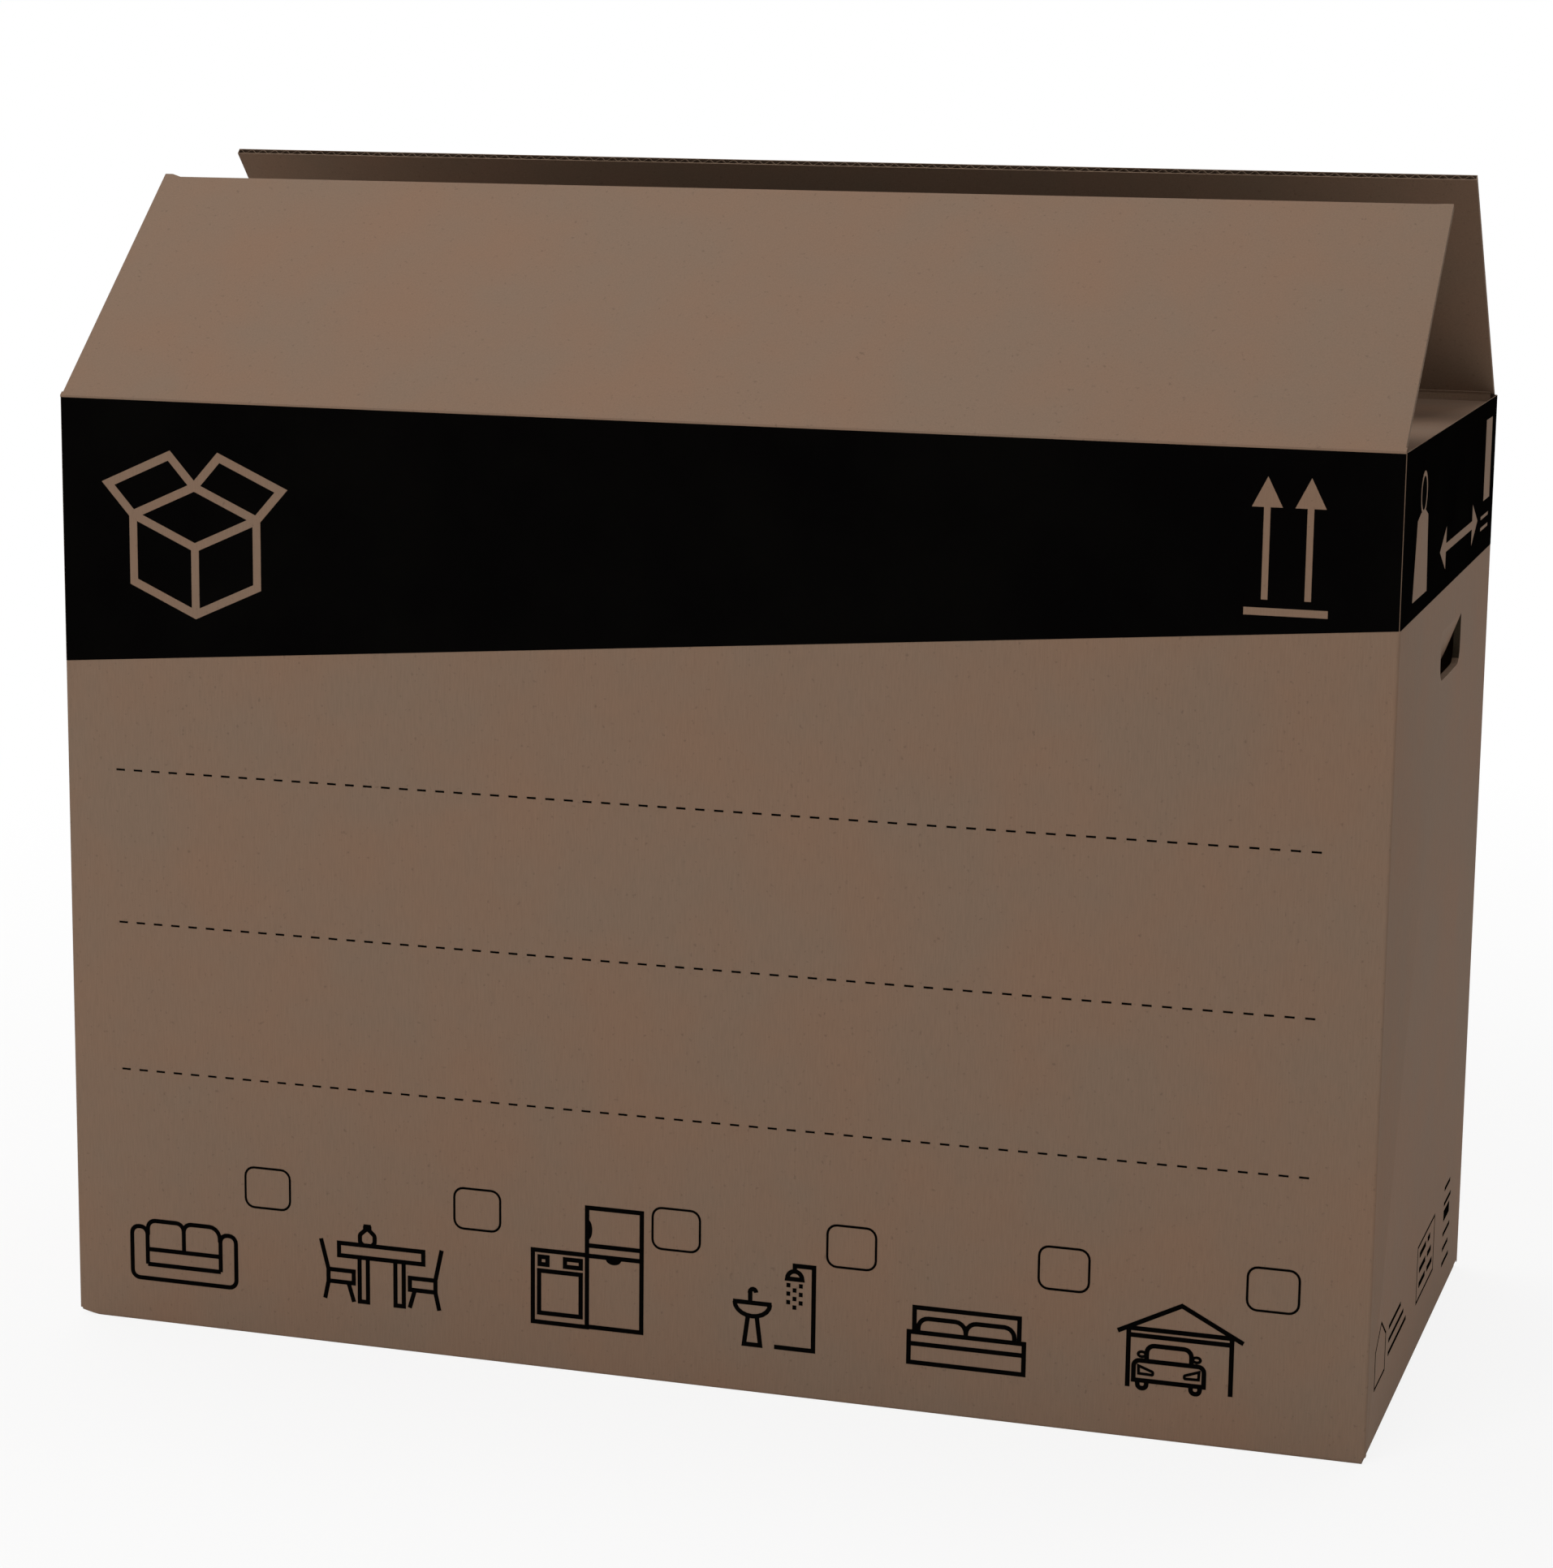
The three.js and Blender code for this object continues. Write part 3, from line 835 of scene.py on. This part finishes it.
# A plain dimension mark, a blank panel and two ruled lines beside the weight
dimension_shapes = [
    bar(-30 * MM, 100 * MM, 496 * MM, 501 * MM),
    on_wall([(-47, 498.5), (-22, 486), (-22, 511)]),
    on_wall([(118, 498.5), (93, 511), (93, 486)]),
]
panel_shapes = [
    on_wall([(143, 508), (171, 508), (171, 558), (143, 558)]),
    bar(134 * MM, 168 * MM, 497 * MM, 499 * MM),
    bar(134 * MM, 168 * MM, 490 * MM, 492 * MM),
]
for name, shapes in (("weight_mark", weight_shapes), ("dimension_mark", dimension_shapes),
                     ("blank_panel", panel_shapes)):
    mark = printed(shapes, RIGHT, OPEN_LIFT, OPEN_FILM)
    mark.data.materials.append(liner_along_y)
    finish_piece(mark, name, "carton")

# An open carton in outline at the band's left, in bare liner
CARTON_MARK = (-313, 493)
CARTON_LINE = 5.0
carton_lines = (
    ([(-40, 8), (-40, -32), (0, -50), (40, -32), (40, 8)], False),
    ([(-40, 8), (0, -10), (40, 8)], False),
    ([(0, -10), (0, -50)], False),
    ([(-40, 8), (-56, 26), (-16, 44), (0, 26)], False),
    ([(40, 8), (56, 26), (16, 44), (0, 26)], False),
    ([(-40, 8), (0, 26), (40, 8)], False),
)
carton_shapes = [stroke(points, CARTON_LINE, closed, CARTON_MARK) for points, closed in carton_lines]
carton_mark = printed(carton_shapes, FRONT, OPEN_LIFT, OPEN_FILM)
carton_mark.data.materials.append(liner_along_x)
finish_piece(carton_mark, "carton_mark", "carton")


# Marks low on the end wall
# A framed table of plain bars and a column of short rules near the back corner, and a small
# outlined tag with three rules near the front one, in black ink.

table_shapes = [stroke(box_points(-5, 67, 36, 71), 1.5, True)]
for row in range(3):
    height = 43 + row * 9.5
    table_shapes.append(bar(4 * MM, 30 * MM, height * MM, (height + 3.5) * MM))
    table_shapes.append(bar(38 * MM, (60 - 6 * row) * MM, height * MM, (height + 3.5) * MM))
for row in range(6):
    height = 24 + row * 10
    line = 7 if row == 3 else 2.5
    table_shapes.append(bar(110 * MM, (140 - 5 * (row % 2)) * MM, height * MM, (height + line) * MM))
tag_outline = [(-168, 36), (-130, 36), (-130, 58), (-149, 70), (-168, 58)]
table_shapes.append(stroke(tag_outline, 1.5, True))
for row in range(3):
    height = 40 + row * 8
    table_shapes.append(bar(-118 * MM, (-48 - 12 * row) * MM, height * MM, (height + 2.5) * MM))
table_mark = printed(table_shapes, RIGHT)
table_mark.data.materials.append(ink_along_y)
finish_piece(table_mark, "ruled_table_mark", "carton")


# Floor, backdrop and light
# A white studio sweep that keeps a soft shadow at the box's foot. One broad lamp stands high in
# front and one hangs over the back, weaker ones are low at the right and behind, and the room
# gives an even light.

bpy.ops.object.select_all(action="DESELECT")
bpy.ops.mesh.primitive_plane_add(size=60, location=(0, 0, 0))
floor = bpy.context.object
floor.name = "studio_floor"


def white_to_camera(tree, amount=None):
    """1 where the camera, a reflection or a clear material looks at it, times amount."""
    path = add_node(tree, "ShaderNodeLightPath")
    seen = path.outputs["Is Camera Ray"]
    for ray in ("Is Glossy Ray", "Is Transmission Ray"):
        seen = add_node(tree, "ShaderNodeMath", {"operation": "MAXIMUM"}, _0=seen,
                        _1=path.outputs[ray]).outputs[0]
    if amount is None:
        return seen
    return add_node(tree, "ShaderNodeMath", {"operation": "MULTIPLY"}, _0=seen, _1=amount).outputs[0]


# White paint: shadow shows near the box and fades out into plain white from 0.6 to 2 m off
floor_material = bpy.data.materials.new("white_studio_floor")
floor_material.use_nodes = True
floor_tree = floor_material.node_tree
floor_shader = floor_tree.nodes["Principled BSDF"]
floor_shader.inputs["Base Color"].default_value = linear("F2F1EF")
floor_shader.inputs["Roughness"].default_value = 0.9
floor_place = add_node(floor_tree, "ShaderNodeTexCoord").outputs["Object"]
floor_away = add_node(floor_tree, "ShaderNodeVectorMath", {"operation": "LENGTH"},
                      _0=floor_place).outputs[1]
floor_fade = add_node(floor_tree, "ShaderNodeMapRange", Value=floor_away, From_Min=0.6, From_Max=2.0,
                      To_Min=0.87, To_Max=1.0).outputs[0]
floor_glow = add_node(floor_tree, "ShaderNodeEmission", Color=(1, 1, 1, 1), Strength=1.0)
floor_mix = add_node(floor_tree, "ShaderNodeMixShader", _0=white_to_camera(floor_tree, floor_fade),
                     _1=floor_shader.outputs[0], _2=floor_glow.outputs[0])
floor_tree.links.new(floor_mix.outputs[0], floor_tree.nodes["Material Output"].inputs["Surface"])
floor.data.materials.append(floor_material)

ROOM_LIGHT = 0.16
world = bpy.data.worlds.new("studio")
bpy.context.scene.world = world
world.use_nodes = True
world_tree = world.node_tree
room = world_tree.nodes["Background"]
room.inputs[0].default_value = (1, 1, 1, 1)
white_seen = white_to_camera(world_tree)
room_strength = add_node(world_tree, "ShaderNodeMapRange", Value=white_seen, From_Min=0.0, From_Max=1.0,
                         To_Min=ROOM_LIGHT, To_Max=1.0).outputs[0]
world_tree.links.new(room_strength, room.inputs[1])

# Name, place, what it faces, width, height and watts
LAMPS = (
    ("front_softbox", (-0.9, -3.45, 3.1), (0, 0, 0.6), 3.0, 1.8, 77),
    ("top_softbox", (-0.4, 0.9, 4.3), (0, 0, 0.6), 4.5, 1.5, 78),
    ("right_fill", (3.4, -0.5, 0.35), (0, 0, 0.35), 2.0, 0.6, 6),
    ("rear_fill", (-2.0, 2.7, 0.32), (0, 0, 0.3), 2.4, 0.55, 60),
)
for name, place, target, width, height, watts in LAMPS:
    bpy.ops.object.light_add(type="AREA", location=place)
    lamp = bpy.context.object
    lamp.name = name
    lamp.data.shape = "RECTANGLE"
    lamp.data.size = width
    lamp.data.size_y = height
    lamp.data.energy = watts
    lamp.rotation_euler = (Vector(target) - lamp.location).to_track_quat("-Z", "Y").to_euler()

bpy.context.scene.view_settings.view_transform = "Standard"
